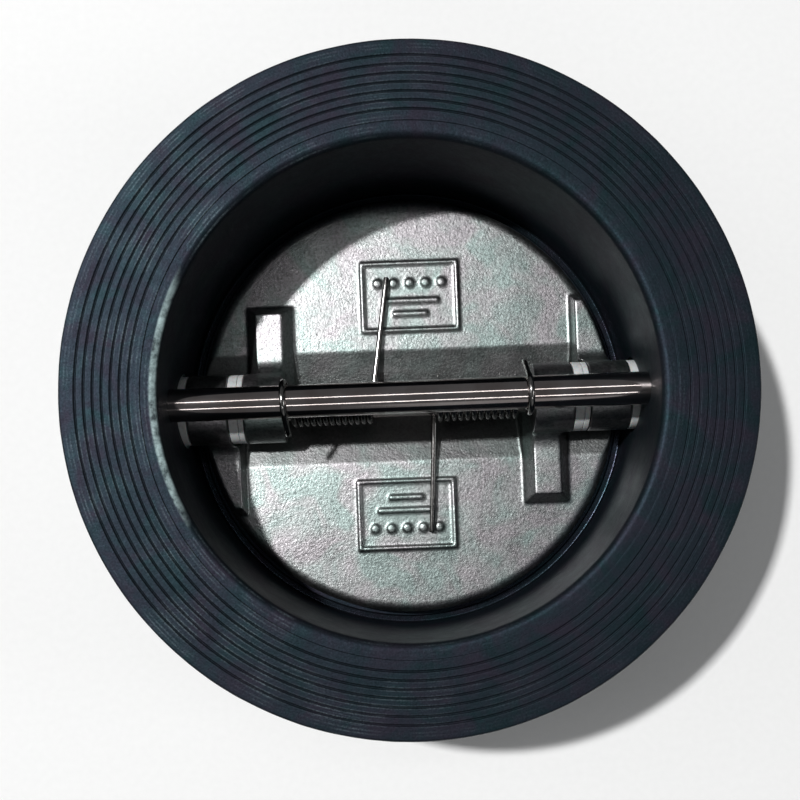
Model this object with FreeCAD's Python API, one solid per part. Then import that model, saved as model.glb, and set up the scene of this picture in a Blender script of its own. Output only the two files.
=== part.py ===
import FreeCAD, Part
import math
import os

from FreeCAD import Vector

# Dual-plate wafer check valve, DN100 (4 inch), short pattern. Millimetres.
# The flow runs along +Z. The inlet face is at z = 0 and the outlet face at z = FACE_TO_FACE.
# Both pins lie along X. Plate "upper" covers the +Y half of the port and plate "lower" the -Y half.

# --- Body and rubber lining ---------------------------------------------------
BODY_R = 81.0              # outside radius, fits inside the flange bolts
FACE_TO_FACE = 64.0
RIM_CHAMFER = 0.6
LINING_T = 1.6             # rubber over the faces and the bore
LINING_R = BODY_R - RIM_CHAMFER
PORT_R = 49.0              # inlet port, inside the rubber
CHAMBER_R = 57.9           # outlet chamber, inside the rubber
SEAT_Z = 19.0              # plane on which both plates seal
SEAT_R = 56.0              # outside of the raised seat
LEDGE_DROP = 1.0           # the floor outside the seat lies this much lower
SEAT_RUBBER_T = 2.6        # rubber under the seat
SEAT_EDGE = 0.8            # chamfer at the port edge
INLET_LIP_R = 1.4          # rounded inner edge of the inlet face
OUTLET_LIP_R = 1.8         # rounded inner edge of the outlet face
INNER_LAND_R = 61.6        # the outlet face is slightly lower inside this radius
INNER_LAND_DROP = 0.2

# --- Sealing grooves on both faces ----------------------------------------------
GROOVE_COUNT = 7
GROOVE_FIRST_R = 64.3
GROOVE_PITCH = 2.05
GROOVE_HALF_WIDTH = 0.42
GROOVE_DEPTH = 0.6

# --- Crossbar under the hinge line --------------------------------------------------
BAR_HALF_WIDTH = 6.0       # iron core
BAR_SHOULDER_Z = 12.0      # its sides are upright above this height
BAR_NOSE_Z = 5.0           # its rounded nose faces the inlet

# --- Pins --------------------------------------------------------------------------
HINGE_Z = 32.0
STOP_Z = 48.0
HINGE_PIN_R = 3.5
STOP_PIN_R = 4.0
PIN_HALF_LENGTH = 66.8
PIN_END_CHAMFER = 0.5
RUNNING_GAP = 0.05         # radial clearance of a pin in its hole

# --- Plugs that close the pin holes ------------------------------------------------
PIN_HOLE_END = 67.0
PLUG_THREAD_R = 5.0
PLUG_THREAD_GAP = 0.03
PLUG_END = 67.6
COUNTERBORE_R = 7.0
COUNTERBORE_FLOOR = 75.5
GASKET_T = 1.2
GASKET_BORE_R = 5.1
PLUG_HEAD_R = 6.8
PLUG_HEAD_T = 3.4
PLUG_CHAMFER = 0.5
SOCKET_AF = 5.0
SOCKET_DEPTH = 2.4

# --- Plates ------------------------------------------------------------------------
PLATE_R = 54.6
PLATE_T = 6.5
PLATE_GAP = 0.75           # half the gap between the two straight edges
PLATE_EDGE_R = 2.6         # rounded rim on the outlet side
PLATE_EDGE_BREAK = 0.3
HUB_R = 9.0
HUB_BORE_R = HINGE_PIN_R + RUNNING_GAP
HUB_RELIEF = 0.4           # gap round the other plate's hubs
INNER_HUB = (31.6, 41.7)   # distance from the valve's axis, along X
OUTER_HUB = (45.6, 55.9)
POCKET_R = 45.5            # shallow recess on the inlet side, inside the sealing band
POCKET_EDGE_Y = 10.5
POCKET_DEPTH = 0.8
BEVEL_Y = 14.8             # the plate thins from here to its straight edge
BEVEL_DROP = 3.1
ARM_TOP_Z = 30.75          # stop pad, meets the stop pin when the plate is fully open
ARM_BASE = (29.5, 41.4)    # where the flanks meet the plate
ARM_TOP = (31.9, 38.8)
ARM_END_Y = (27.0, 24.6)   # foot and top of the end wall
RAMP_TOP_Z = 29.5
RAMP_BASE = (43.2, 56.8)
RAMP_TOP = (44.1, 56.0)
RAMP_END_Y = (27.4, 25.4)
RAMP_MAX_R = 52.8
HUB_FILLET_R = 4.4         # hollow between a rib's top and its hub

# --- Raised casting mark on each plate -----------------------------------------------
MARK_CENTRE = (1.45, 28.6)
MARK_SIZE = (25.7, 18.4)
MARK_LINE = 0.8
MARK_HEIGHT = 0.5
PIP_COUNT = 5
PIP_R = 1.1
PIP_PITCH = 4.2
PIP_ROW_Y = 3.6            # above the mark's centre
BAR_MARK_LENGTHS = (15.0, 9.0)
BAR_MARK_WIDTH = 1.1
BAR_MARK_PITCH = 3.4

# --- Washers on the hinge pin ---------------------------------------------
WASHER_R = 8.8
WASHER_BORE_R = 3.7
THRUST_WASHER = (56.0, 58.1)
SPOTFACE_R = 9.6
SPOTFACE_X = 58.2
THICK_WASHER_T = 2.3
THIN_WASHER_T = 1.35
WASHER_GAP = 0.05

# --- Springs -------------------------------------------------------------------------
WIRE_R = 0.75
COIL_R = 4.45              # to the middle of the wire
COIL_WHOLE_TURNS = 12
HOOK_GAP = 0.08            # between the hook and the stop pin
HOOK_WRAP = 178.0          # degrees that the hook bears on the stop pin
HOOK_TAIL = 7.0
LEG_STUB = 1.5             # straight stretch where the leg leaves the coil
LEG_BEND_R = 6.0
LEG_TIP_Y = 33.6
LEG_CLEARANCE = 0.1        # between the leg's tip and the casting mark
LEFT_SPRING = {"coil_x": -29.4, "pitch": 1.61, "leg_tip_x": -4.5}
RIGHT_SPRING = {"coil_x": -28.2, "pitch": 1.73, "leg_tip_x": -4.9}

# --- Flow arrow on the rim --------------------------------------------------------------
PANEL_HALF_WIDTH = 10.0
PANEL_Z = (12.0, 52.0)
PANEL_DEPTH = 0.8
ARROW_SHAFT_HALF = 2.2
ARROW_HEAD_HALF = 6.0
ARROW_Z = (17.0, 36.0, 47.0)   # tail, neck, tip
ARROW_TOP_R = BODY_R

EPS = 1.0                  # overshoot of cutting tools


# --- Small helpers ---------------------------------------------------------------------
def cylinder_x(radius, start, end, z):
    """Cylinder along X at height z."""
    return Part.makeCylinder(radius, end - start, Vector(start, 0, z), Vector(1, 0, 0))


def cylinder_z(radius, low, high):
    """Cylinder round the valve's own axis."""
    return Part.makeCylinder(radius, high - low, Vector(0, 0, low))


def box_between(low, high):
    """Box between two opposite corners."""
    size = [b - a for a, b in zip(low, high)]
    return Part.makeBox(size[0], size[1], size[2], Vector(*low))


def half_turn(shape):
    """Copy of a shape turned by half a turn round the valve's axis."""
    copy = shape.copy()
    copy.rotate(Vector(0, 0, 0), Vector(0, 0, 1), 180)
    return copy


def mirrored_x(shape):
    """Mirror image on the other side of X = 0."""
    return shape.mirror(Vector(0, 0, 0), Vector(1, 0, 0))


def outline_face(start, steps):
    """Face inside an outline. A step is (point,) for a line or (middle, point) for an arc."""
    edges = []
    here = start
    for step in steps:
        if len(step) == 1:
            edges.append(Part.makeLine(here, step[0]))
        else:
            edges.append(Part.Arc(here, step[0], step[1]).toShape())
        here = step[-1]
    return Part.Face(Part.Wire(edges))


def ring_from(points_and_arcs):
    """Solid of revolution round Z from an outline of (r, z) points; a pair of points is an arc."""
    steps = [tuple(Vector(r, 0, z) for r, z in step) for step in points_and_arcs]
    face = outline_face(steps[-1][-1], steps)
    return face.revolve(Vector(0, 0, 0), Vector(0, 0, 1), 360)


def polygon_prism_x(points, start, end):
    """Prism along X from (y, z) points."""
    corners = [Vector(start, y, z) for y, z in points]
    face = Part.Face(Part.makePolygon(corners + corners[:1]))
    return face.extrude(Vector(end - start, 0, 0))


def polygon_prism_y(points, start, end):
    """Prism along Y from (x, z) points."""
    corners = [Vector(x, start, z) for x, z in points]
    face = Part.Face(Part.makePolygon(corners + corners[:1]))
    return face.extrude(Vector(0, end - start, 0))


def export(name, shape):
    """Write one sub-part, and report its solids and volume."""
    clean = shape.removeSplitter()
    clean.exportStep("parts/" + name + ".step")
    print(name, "solids", len(clean.Solids), "valid", clean.isValid(), "volume", round(clean.Volume, 1))


# --- Body ---------------------------------------------------------------------------------
def bar_profile(half_width, top_z, nose_z):
    """Prism of the crossbar's streamlined section, long enough to reach into the ring."""
    start = Vector(-PORT_R - 2 * EPS - LINING_T, -half_width, top_z)
    left = Vector(start.x, -half_width, BAR_SHOULDER_Z)
    nose = Vector(start.x, 0, nose_z)
    right = Vector(start.x, half_width, BAR_SHOULDER_Z)
    end = Vector(start.x, half_width, top_z)
    face = outline_face(start, [(left,), (nose, right), (end,), (start,)])
    return face.extrude(Vector(-2 * start.x, 0, 0))


def bar_core():
    """Iron core of the crossbar."""
    return bar_profile(BAR_HALF_WIDTH, SEAT_Z - SEAT_RUBBER_T, BAR_NOSE_Z)


def body_holes(shape):
    """Cut the pin holes, threads and counterbores for the plugs into the casting."""
    for z, pin_r in ((HINGE_Z, HINGE_PIN_R), (STOP_Z, STOP_PIN_R)):
        bore = cylinder_x(pin_r + RUNNING_GAP, CHAMBER_R - EPS, PIN_HOLE_END + EPS, z)
        thread = cylinder_x(PLUG_THREAD_R, PIN_HOLE_END, BODY_R + EPS, z)
        counterbore = cylinder_x(COUNTERBORE_R, COUNTERBORE_FLOOR, BODY_R + EPS, z)
        tool = bore.fuse([thread, counterbore])
        shape = shape.cut(tool)
        shape = shape.cut(half_turn(tool))
    return shape


def flow_arrow():
    """Raised arrow that points the way the fluid flows."""
    tail, neck, tip = ARROW_Z
    half = [(ARROW_SHAFT_HALF, tail), (ARROW_SHAFT_HALF, neck), (ARROW_HEAD_HALF, neck)]
    points = half + [(0, tip)] + [(-x, z) for x, z in reversed(half)]
    prism = polygon_prism_y(points, BODY_R - 2 * EPS - PANEL_DEPTH, BODY_R + EPS)
    return prism.common(cylinder_z(ARROW_TOP_R, 0, FACE_TO_FACE))


def arrow_panel():
    """Shallow sunk panel round the arrow, following the rim."""
    low = (-PANEL_HALF_WIDTH, 0, PANEL_Z[0])
    high = (PANEL_HALF_WIDTH, BODY_R + EPS, PANEL_Z[1])
    panel = box_between(low, high)
    return panel.cut(cylinder_z(BODY_R - PANEL_DEPTH, 0, FACE_TO_FACE))


def body_casting():
    """Ductile iron ring with the crossbar cast across its port."""
    inner = CHAMBER_R + LINING_T
    port = PORT_R + LINING_T
    shelf_z = SEAT_Z - SEAT_RUBBER_T
    top = FACE_TO_FACE - LINING_T
    ring = ring_from([
        ((LINING_R, LINING_T),),
        ((BODY_R, LINING_T + RIM_CHAMFER),),
        ((BODY_R, top - RIM_CHAMFER),),
        ((LINING_R, top),),
        ((inner, top),),
        ((inner, shelf_z),),
        ((port, shelf_z),),
        ((port, LINING_T),),
    ])
    reach = cylinder_z(port + EPS, 0, FACE_TO_FACE)
    casting = ring.fuse(bar_core().common(reach))
    casting = body_holes(casting)
    casting = casting.cut(arrow_panel())
    return casting.fuse(flow_arrow())


def groove_points(z, depth_sign):
    """Outline points of the sealing grooves, from the innermost outwards."""
    points = []
    for i in range(GROOVE_COUNT):
        r = GROOVE_FIRST_R + i * GROOVE_PITCH
        points.append(((r - GROOVE_HALF_WIDTH, z),))
        points.append(((r, z + depth_sign * GROOVE_DEPTH),))
        points.append(((r + GROOVE_HALF_WIDTH, z),))
    return points


def quarter_arc(centre, radius, start_degrees, end_degrees):
    """Middle and end of an arc, as an outline step."""
    step = []
    for degrees in ((start_degrees + end_degrees) / 2, end_degrees):
        angle = math.radians(degrees)
        step.append((centre[0] + radius * math.cos(angle), centre[1] + radius * math.sin(angle)))
    return tuple(step)


def lining_ring():
    """Rubber over the inlet face, port, seat, outlet chamber and outlet face."""
    inner = CHAMBER_R + LINING_T
    port = PORT_R + LINING_T
    shelf_z = SEAT_Z - SEAT_RUBBER_T
    top = FACE_TO_FACE - LINING_T
    land_z = FACE_TO_FACE - INNER_LAND_DROP
    inlet_lip = (PORT_R + INLET_LIP_R, INLET_LIP_R)
    outlet_lip = (CHAMBER_R + OUTLET_LIP_R, land_z - OUTLET_LIP_R)
    inlet_grooves = [step for step in reversed(groove_points(0.0, 1))]
    return ring_from(
        [((LINING_R, LINING_T),), ((LINING_R, 0.0),)]
        + inlet_grooves
        + [((inlet_lip[0], 0.0),), quarter_arc(inlet_lip, INLET_LIP_R, 270, 180)]
        + [((PORT_R, SEAT_Z - SEAT_EDGE),), ((PORT_R + SEAT_EDGE, SEAT_Z),)]
        + [((SEAT_R, SEAT_Z),), ((SEAT_R, SEAT_Z - LEDGE_DROP),)]
        + [((CHAMBER_R, SEAT_Z - LEDGE_DROP),), ((CHAMBER_R, outlet_lip[1]),)]
        + [quarter_arc(outlet_lip, OUTLET_LIP_R, 180, 90)]
        + [((INNER_LAND_R, land_z),), ((INNER_LAND_R + INNER_LAND_DROP, FACE_TO_FACE),)]
        + groove_points(FACE_TO_FACE, -1)
        + [((LINING_R, FACE_TO_FACE),), ((LINING_R, top),), ((inner, top),)]
        + [((inner, shelf_z),), ((port, shelf_z),), ((port, LINING_T),)]
    )


def rubber_lining():
    """Vulcanised lining in one piece, with the seat and the cover of the crossbar."""
    cover = bar_profile(BAR_HALF_WIDTH + LINING_T, SEAT_Z, BAR_NOSE_Z - LINING_T)
    cover = cover.common(cylinder_z(PORT_R + LINING_T / 2, 0, SEAT_Z))
    lining = lining_ring().fuse(cover)
    lining = lining.cut(bar_core())
    for side in (1, -1):
        for z, pin_r in ((HINGE_Z, HINGE_PIN_R), (STOP_Z, STOP_PIN_R)):
            hole = cylinder_x(pin_r + RUNNING_GAP, CHAMBER_R - 2 * EPS, CHAMBER_R + 2 * LINING_T, z)
            lining = lining.cut(hole if side == 1 else half_turn(hole))
        spotface = cylinder_x(SPOTFACE_R, CHAMBER_R - 3 * EPS, SPOTFACE_X, HINGE_Z)
        lining = lining.cut(spotface if side == 1 else half_turn(spotface))
    return lining


# --- Pins, plugs, gaskets, washers ------------------------------------------------------------
def pin(radius, z):
    """Plain pin with chamfered ends."""
    body = cylinder_x(radius, -PIN_HALF_LENGTH, PIN_HALF_LENGTH, z)
    ends = [e for e in body.Edges if e.Curve.TypeId == "Part::GeomCircle"]
    return body.makeChamfer(PIN_END_CHAMFER, ends)


def plug(z):
    """Socket plug on the +X side: shank in the thread, head on the gasket."""
    seat = COUNTERBORE_FLOOR + GASKET_T
    head = cylinder_x(PLUG_HEAD_R, seat, seat + PLUG_HEAD_T, z)
    rim = [e for e in head.Edges if abs(e.CenterOfMass.x - seat - PLUG_HEAD_T) < 1e-6]
    head = head.makeChamfer(PLUG_CHAMFER, rim)
    shank = cylinder_x(PLUG_THREAD_R - PLUG_THREAD_GAP, PLUG_END, seat, z)
    corner_r = SOCKET_AF / math.sqrt(3)
    corners = []
    for i in range(6):
        angle = math.radians(60 * i)
        corners.append((corner_r * math.cos(angle), z + corner_r * math.sin(angle)))
    socket = polygon_prism_x(corners, seat + PLUG_HEAD_T - SOCKET_DEPTH, BODY_R + EPS)
    return head.fuse(shank).cut(socket)


def gasket(z):
    """Sealing ring under the head of the plug on the +X side."""
    ring = cylinder_x(PLUG_HEAD_R, COUNTERBORE_FLOOR, COUNTERBORE_FLOOR + GASKET_T, z)
    return ring.cut(cylinder_x(GASKET_BORE_R, COUNTERBORE_FLOOR - EPS, BODY_R, z))


def washer(span, radius):
    """Flat ring on the hinge pin, on the +X side."""
    ring = cylinder_x(radius, span[0], span[1], HINGE_Z)
    return ring.cut(cylinder_x(WASHER_BORE_R, span[0] - EPS, span[1] + EPS, HINGE_Z))


def hub_washers(thicknesses):
    """The two washers between the hubs, from the valve's axis outwards, on the +X side."""
    rings = []
    start = INNER_HUB[1] + WASHER_GAP
    for thickness in thicknesses:
        rings.append(washer((start, start + thickness), WASHER_R))
        start += thickness + WASHER_GAP
    return rings


# --- Plates -------------------------------------------------------------------------------
def plate_blank():
    """Half disc with a rounded rim on the outlet side."""
    top = SEAT_Z + PLATE_T
    disc = ring_from([
        ((0.0, SEAT_Z),),
        ((PLATE_R - PLATE_EDGE_BREAK, SEAT_Z),),
        ((PLATE_R, SEAT_Z + PLATE_EDGE_BREAK),),
        ((PLATE_R, top - PLATE_EDGE_R),),
        quarter_arc((PLATE_R - PLATE_EDGE_R, top - PLATE_EDGE_R), PLATE_EDGE_R, 0, 90),
        ((0.0, top),),
    ])
    low = (-PLATE_R - EPS, PLATE_GAP, SEAT_Z - EPS)
    high = (PLATE_R + EPS, PLATE_R + EPS, top + EPS)
    return disc.common(box_between(low, high))


def plate_pocket():
    """Shallow recess in the inlet side of the plate."""
    disc = cylinder_z(POCKET_R, SEAT_Z - EPS, SEAT_Z + POCKET_DEPTH)
    low = (-PLATE_R, POCKET_EDGE_Y, SEAT_Z - EPS)
    return disc.common(box_between(low, (PLATE_R, PLATE_R, SEAT_Z + POCKET_DEPTH)))


def bevel_tool():
    """Wedge that thins the plate towards its straight edge."""
    top = SEAT_Z + PLATE_T
    wedge = [(0, top - BEVEL_DROP), (BEVEL_Y, top), (BEVEL_Y, top + EPS), (0, top + EPS)]
    return polygon_prism_x(wedge, -PLATE_R, PLATE_R)


def drafted_section(base, top, top_z):
    """Section of a rib in (x, z), its sloping flanks carried on above and below its own height."""
    base_z = SEAT_Z + PLATE_T
    height = top_z - base_z
    low_z = base_z - BEVEL_DROP
    high_z = top_z + HUB_FILLET_R
    inner_draft = (top[0] - base[0]) / height
    outer_draft = (base[1] - top[1]) / height
    section = []
    for z in (low_z, high_z):
        section.append((base[0] + inner_draft * (z - base_z), z))
    for z in (high_z, low_z):
        section.append((base[1] - outer_draft * (z - base_z), z))
    return section


def rib(base, top, top_z, end_y):
    """Flat-topped rib along Y that runs from its hub, through a hollow fillet, to an end wall."""
    low_z = SEAT_Z + PLATE_T - BEVEL_DROP
    rise = top_z + HUB_FILLET_R - HINGE_Z
    fillet_y = math.sqrt((HUB_R + HUB_FILLET_R) ** 2 - rise ** 2)
    centre = Vector(0, fillet_y, top_z + HUB_FILLET_R)
    to_hub = (Vector(0, 0, HINGE_Z) - centre).normalize()
    touch = centre + to_hub * HUB_FILLET_R
    middle = centre + (to_hub + Vector(0, 0, -1)).normalize() * HUB_FILLET_R
    profile = outline_face(Vector(0, PLATE_GAP, low_z), [
        (Vector(0, end_y[0], low_z),),
        (Vector(0, end_y[0], SEAT_Z + PLATE_T),),
        (Vector(0, end_y[1], top_z),),
        (Vector(0, fillet_y, top_z),),
        (middle, touch),
        (Vector(0, PLATE_GAP, touch.z),),
        (Vector(0, PLATE_GAP, low_z),),
    ])
    side = profile.extrude(Vector(PLATE_R + EPS, 0, 0))
    return side.common(polygon_prism_y(drafted_section(base, top, top_z), 0, PLATE_R))


def stop_arm():
    """Rib from the inner hub; its flat top is the pad that meets the stop pin."""
    return rib(ARM_BASE, ARM_TOP, ARM_TOP_Z, ARM_END_Y)


def outer_ramp():
    """Rib from the outer hub, trimmed to the plate's rim."""
    ramp = rib(RAMP_BASE, RAMP_TOP, RAMP_TOP_Z, RAMP_END_Y)
    return ramp.common(cylinder_z(RAMP_MAX_R, 0, FACE_TO_FACE))


def casting_mark():
    """Raised rectangle with a row of pips and two bars inside."""
    low_z = SEAT_Z + PLATE_T - MARK_HEIGHT
    high_z = SEAT_Z + PLATE_T + MARK_HEIGHT
    cx, cy = MARK_CENTRE
    half_x, half_y = (side / 2 for side in MARK_SIZE)
    outer = box_between((cx - half_x, cy - half_y, low_z), (cx + half_x, cy + half_y, high_z))
    inner_x = half_x - MARK_LINE
    inner_y = half_y - MARK_LINE
    inner = box_between((cx - inner_x, cy - inner_y, low_z - EPS), (cx + inner_x, cy + inner_y, high_z + EPS))
    pieces = [outer.cut(inner)]
    for i in range(PIP_COUNT):
        x = cx + (i - (PIP_COUNT - 1) / 2) * PIP_PITCH
        pieces.append(Part.makeCylinder(PIP_R, high_z - low_z, Vector(x, cy + PIP_ROW_Y, low_z)))
    for i, length in enumerate(BAR_MARK_LENGTHS):
        y = cy - i * BAR_MARK_PITCH - BAR_MARK_WIDTH
        low = (cx - length / 2, y - BAR_MARK_WIDTH / 2, low_z)
        pieces.append(box_between(low, (cx + length / 2, y + BAR_MARK_WIDTH / 2, high_z)))
    return pieces


def plate():
    """Plate that covers the +Y half: inner hub on the -X side, outer hub on the +X side."""
    inner_hub = cylinder_x(HUB_R, INNER_HUB[0], INNER_HUB[1], HINGE_Z)
    outer_hub = cylinder_x(HUB_R, OUTER_HUB[0], OUTER_HUB[1], HINGE_Z)
    ribs = [mirrored_x(stop_arm()), outer_ramp()]
    shape = plate_blank().cut([plate_pocket(), bevel_tool()])
    shape = shape.fuse([mirrored_x(inner_hub), outer_hub] + ribs + casting_mark())
    washers = cylinder_x(HUB_R + HUB_RELIEF, INNER_HUB[1], OUTER_HUB[0], HINGE_Z)
    shape = shape.cut([washers, mirrored_x(washers)])
    for other in (INNER_HUB, mirrored_x_span(OUTER_HUB)):
        relief = cylinder_x(HUB_R + HUB_RELIEF, other[0] - HUB_RELIEF, other[1] + HUB_RELIEF, HINGE_Z)
        shape = shape.cut(relief)
    return shape.cut(cylinder_x(HUB_BORE_R, -PLATE_R - 2 * EPS, PLATE_R + 2 * EPS, HINGE_Z))


def mirrored_x_span(span):
    """The same stretch of the X axis on the other side of the valve."""
    return (-span[1], -span[0])


# --- Springs -------------------------------------------------------------------------------
def helix_edge(start_x, pitch, turns, start_degrees):
    """Centre line of a coil round the hinge pin, wound from start_x towards +X."""
    helix = Part.makeHelix(pitch, turns * pitch, COIL_R)
    helix.rotate(Vector(0, 0, 0), Vector(0, 0, 1), start_degrees)
    helix.rotate(Vector(0, 0, 0), Vector(1, 1, 1), 120)
    helix.translate(Vector(start_x, 0, HINGE_Z))
    return helix.Edges


def bend(start, corner, end, radius):
    """Line, tangent arc and line through a corner."""
    back = (start - corner).normalize()
    ahead = (end - corner).normalize()
    half = back.getAngle(ahead) / 2
    reach = radius / math.tan(half)
    inward = (back + ahead).normalize()
    middle = corner + inward * (radius / math.sin(half) - radius)
    first = corner + back * reach
    last = corner + ahead * reach
    return [Part.makeLine(start, first), Part.Arc(first, middle, last).toShape(), Part.makeLine(last, end)]


def spring(coil_x, pitch, leg_tip_x):
    """Torsion spring on the -X side whose leg presses on the +Y plate.

    The wire hooks over the stop pin, crosses to the far side of the hinge pin, winds round it and
    leaves below it as a long leg.
    """
    hook_r = STOP_PIN_R + HOOK_GAP + WIRE_R
    cross = math.asin((hook_r + COIL_R) / (STOP_Z - HINGE_Z))
    across = Vector(0, math.cos(cross), -math.sin(cross))
    slope = pitch / (2 * math.pi * COIL_R)
    down = Vector(slope, -math.sin(cross), -math.cos(cross)).normalize()
    coil_start = Vector(coil_x, 0, HINGE_Z) - across * COIL_R
    run_length = (STOP_Z - HINGE_Z) * math.cos(cross) / math.hypot(down.y, down.z)
    hook_end = coil_start - down * run_length
    hook_centre = hook_end - across * hook_r

    def on_hook(degrees):
        angle = math.radians(degrees)
        return hook_centre + (across * math.cos(angle) - down * math.sin(angle)) * hook_r

    wrap = math.radians(HOOK_WRAP)
    hook_tip = on_hook(HOOK_WRAP)
    outwards = (down * -math.cos(wrap) - across * math.sin(wrap)).normalize()
    tail_end = hook_tip + outwards * HOOK_TAIL
    turns = COIL_WHOLE_TURNS + (90.0 + math.degrees(cross)) / 360.0
    coil_end = Vector(coil_x + turns * pitch, 0, HINGE_Z - COIL_R)
    corner = coil_end + Vector(slope, 1, 0) * LEG_STUB
    leg_tip = Vector(leg_tip_x, LEG_TIP_Y, SEAT_Z + PLATE_T + MARK_HEIGHT + WIRE_R + LEG_CLEARANCE)
    path = [
        Part.makeLine(tail_end, hook_tip),
        Part.Arc(hook_tip, on_hook(HOOK_WRAP / 2), hook_end).toShape(),
        Part.makeLine(hook_end, coil_start),
    ]
    path += helix_edge(coil_x, pitch, turns, 180.0 - math.degrees(cross))
    path += bend(coil_end, corner, leg_tip, LEG_BEND_R)
    section = Part.Wire(Part.makeCircle(WIRE_R, tail_end, hook_tip - tail_end))
    return Part.Wire(path).makePipeShell([section], True, False)


# --- Write every sub-part ------------------------------------------------------------------
def main():
    os.makedirs("parts", exist_ok=True)
    export("body_casting", body_casting())
    export("rubber_lining", rubber_lining())
    upper = plate()
    export("plate_upper", upper)
    export("plate_lower", half_turn(upper))
    export("hinge_pin", pin(HINGE_PIN_R, HINGE_Z))
    export("stop_pin", pin(STOP_PIN_R, STOP_Z))
    export("spring_left", spring(**LEFT_SPRING))
    export("spring_right", half_turn(spring(**RIGHT_SPRING)))
    thrust = washer(THRUST_WASHER, WASHER_R)
    export("thrust_washer_right", thrust)
    export("thrust_washer_left", half_turn(thrust))
    right_inner, right_outer = hub_washers((THICK_WASHER_T, THIN_WASHER_T))
    export("hub_washer_right_inner", right_inner)
    export("hub_washer_right_outer", right_outer)
    left_inner, left_outer = hub_washers((THIN_WASHER_T, THICK_WASHER_T))
    export("hub_washer_left_inner", half_turn(left_inner))
    export("hub_washer_left_outer", half_turn(left_outer))
    for name, z in (("hinge", HINGE_Z), ("stop", STOP_Z)):
        export(name + "_pin_plug_right", plug(z))
        export(name + "_pin_plug_left", half_turn(plug(z)))
        export(name + "_plug_gasket_right", gasket(z))
        export(name + "_plug_gasket_left", half_turn(gasket(z)))


main()
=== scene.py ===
import math

import bmesh
import bpy
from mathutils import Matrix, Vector, noise


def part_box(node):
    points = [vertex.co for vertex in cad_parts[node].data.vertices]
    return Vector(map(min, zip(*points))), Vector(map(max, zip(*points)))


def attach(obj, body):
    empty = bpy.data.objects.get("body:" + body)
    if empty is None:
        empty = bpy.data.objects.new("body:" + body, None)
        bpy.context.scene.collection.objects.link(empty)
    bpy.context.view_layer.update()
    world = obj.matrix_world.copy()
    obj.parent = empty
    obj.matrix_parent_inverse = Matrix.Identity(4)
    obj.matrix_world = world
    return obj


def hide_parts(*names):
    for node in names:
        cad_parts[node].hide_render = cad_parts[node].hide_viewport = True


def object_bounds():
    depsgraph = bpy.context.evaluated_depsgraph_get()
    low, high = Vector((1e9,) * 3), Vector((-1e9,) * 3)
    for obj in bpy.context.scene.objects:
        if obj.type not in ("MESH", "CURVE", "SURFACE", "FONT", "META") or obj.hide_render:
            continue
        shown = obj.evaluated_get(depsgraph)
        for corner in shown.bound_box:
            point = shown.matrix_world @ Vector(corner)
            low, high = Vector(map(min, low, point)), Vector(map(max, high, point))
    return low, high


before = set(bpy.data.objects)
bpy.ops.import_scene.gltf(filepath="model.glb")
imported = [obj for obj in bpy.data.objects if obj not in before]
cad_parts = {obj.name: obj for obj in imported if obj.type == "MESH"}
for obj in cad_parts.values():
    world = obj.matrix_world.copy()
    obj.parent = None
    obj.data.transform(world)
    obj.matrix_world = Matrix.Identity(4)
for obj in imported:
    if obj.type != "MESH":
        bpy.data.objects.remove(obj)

cad_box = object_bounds()

# Lengths are in millimetres until a mesh, a light or a camera is made.
MM = 0.001


def span(node):
    """Lowest and highest corner of a CAD node, in millimetres."""
    low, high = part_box(node)
    return low / MM, high / MM


def middle_z(node):
    low, high = span(node)
    return (low.z + high.z) / 2


def radius_z(node):
    low, high = span(node)
    return (high.z - low.z) / 2


# --- Dimensions read from the frame ---------------------------------------------------
BODY_R = span("body_casting")[1].x
FACE_Z = span("rubber_lining")[1].z
LINING_R = span("rubber_lining")[1].x
HINGE_Z = middle_z("hinge_pin")
STOP_Z = middle_z("stop_pin")
HINGE_R = radius_z("hinge_pin")
STOP_R = radius_z("stop_pin")
PIN_END = span("stop_pin")[1].x
PLUG_R = radius_z("stop_pin_plug_right")

# --- Other dimensions -----------------------------------------------------------------
PORT_R = 49.0
CHAMBER_R = 57.9
SEAT_Z = 19.0
SEAT_R = 56.0
LEDGE_Z = 18.0
LINING_T = 1.6
INNER_LAND_R = 61.6
INNER_LAND_Z = FACE_Z - 0.2
GROOVE_FIRST_R = 64.3
GROOVE_PITCH = 2.05
GROOVE_COUNT = 7
GROOVE_HALF = 0.34
GROOVE_DEPTH = 0.38
COVER_HALF = 7.6
CORE_HALF = 6.0
BAR_SHOULDER_Z = 12.0
COVER_NOSE_Z = 3.4
CORE_NOSE_Z = 5.0
CORE_TOP_Z = 16.4
HOLE_GAP = 0.05
THREAD_R = 5.0
THREAD_START = 67.0
PLATE_TOP_Z = 25.5
BEVEL_Y = 14.8
# Radius, and distance from the valve's axis to the floor.
SPOTFACE = (9.6, 58.2)
COUNTERBORE = (7.0, 75.5)
# Depth and grain size.
RIM_SKIN = (0.10, 2.6)
RIM_LUMPS = (0.22, 14.0)

# --- Plug and gasket dimensions -------------------------------------------------------
PLUG_HEAD = 3.4
THREAD_PITCH = 1.0
THREAD_DEPTH = 0.6
THREAD_GAP = 0.03
SOCKET_FLATS = 5.0
SOCKET_DEPTH = 2.4
DRILL_DEPTH = 3.0
COUNTERSINK_R = 3.1
COUNTERSINK_RISE = 0.35
GASKET_BORE = 5.1
WASHER_BORE = 3.7

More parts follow.
